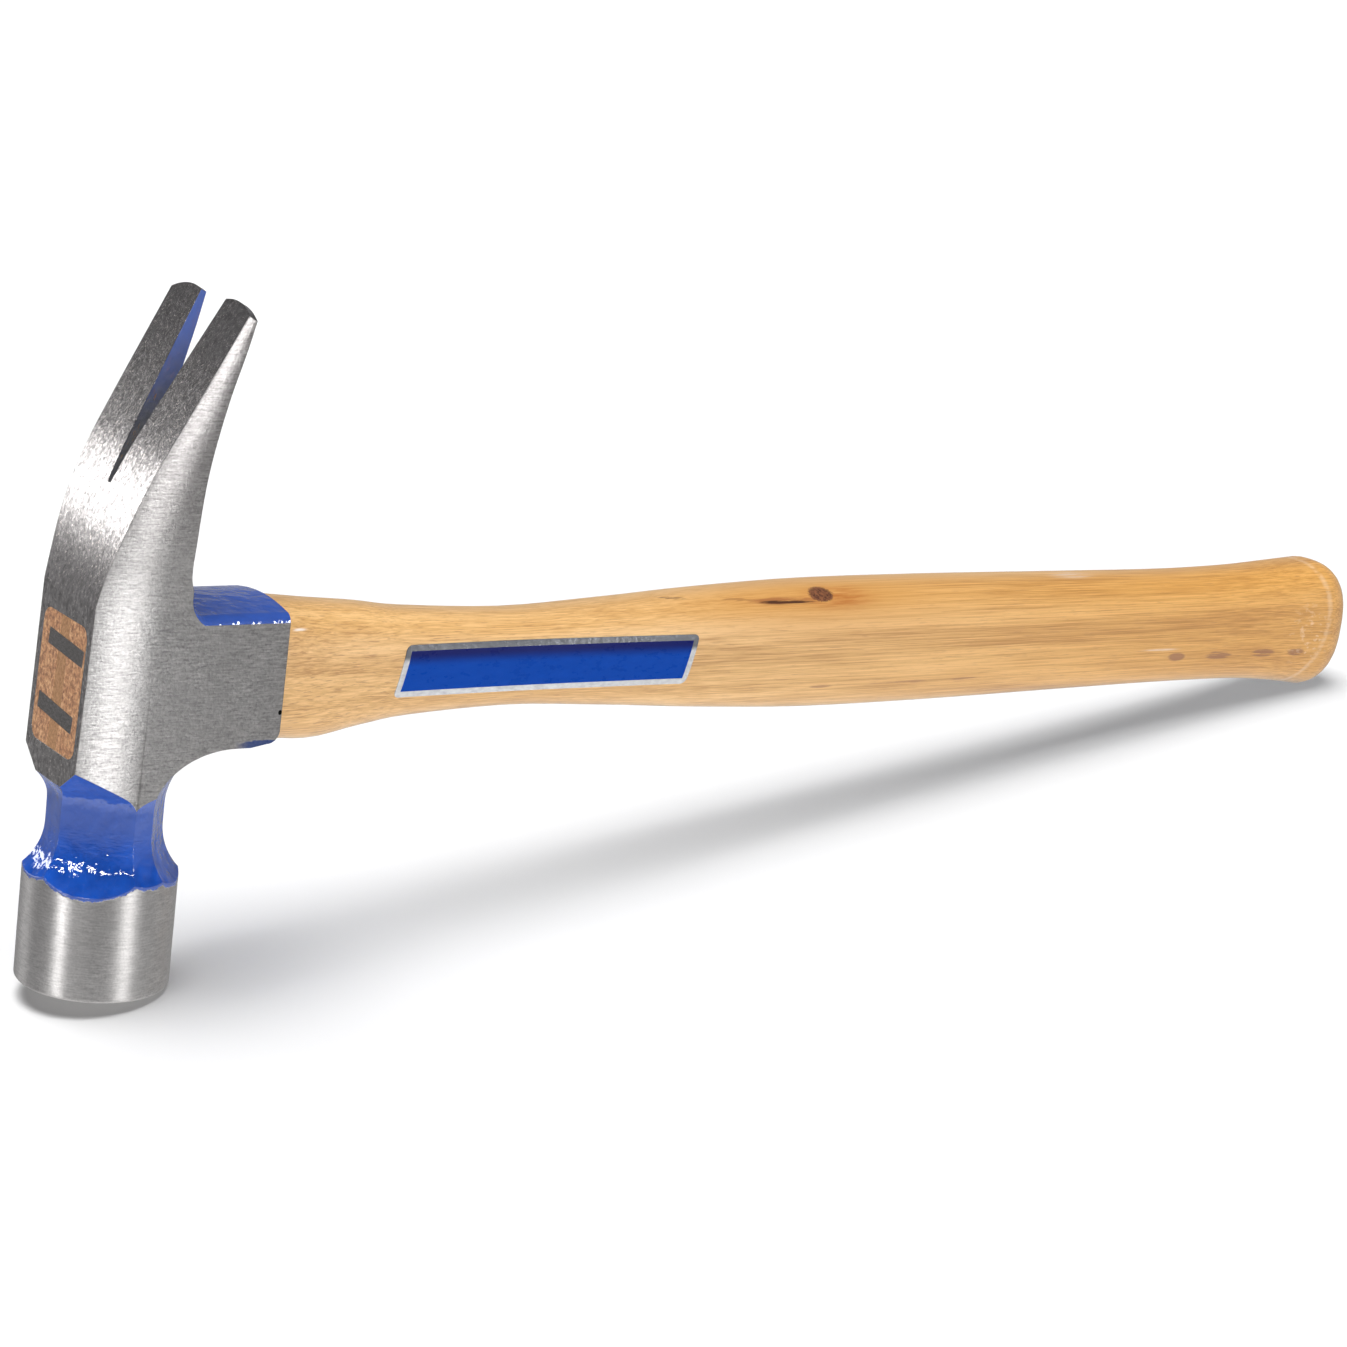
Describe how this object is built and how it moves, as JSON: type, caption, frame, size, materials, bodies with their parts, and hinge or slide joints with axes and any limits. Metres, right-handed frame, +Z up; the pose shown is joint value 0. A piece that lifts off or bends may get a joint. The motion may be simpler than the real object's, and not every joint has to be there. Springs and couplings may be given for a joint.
{
  "type": "framing hammer",
  "caption": "Straight-claw framing hammer: forged steel head with an adze-eye socket on a wedged, curved wooden handle, lying on its face rim and butt.",
  "frame": {"origin": "centre of the bounding box's base: the hammer lies on the rim of its striking face and on the underside of its butt", "axes": "+Z up, +X along the handle from the head to the butt, +Y across the cheeks, on the hammer's plane of symmetry"},
  "size_m": [0.4554, 0.0422, 0.1751],
  "materials": {
    "head_steel": "ground steel, with blue enamel on the neck, the socket's top and the nail slot",
    "handle_wood": "clear lacquer over straight-grained hickory",
    "wedge_wood": "sawn flush",
    "wedge_steel": "dull, ground flush",
    "label_foil": "glossy foil, plain blue field with a silver border"
  },
  "bodies": {
    "root": {"hammer_head": "head_steel", "handle": "handle_wood", "wood_wedge": "wedge_wood", "steel_wedge_claw_side": "wedge_steel", "steel_wedge_face_side": "wedge_steel", "handle_label": "label_foil"}
  },
  "joints": []
}
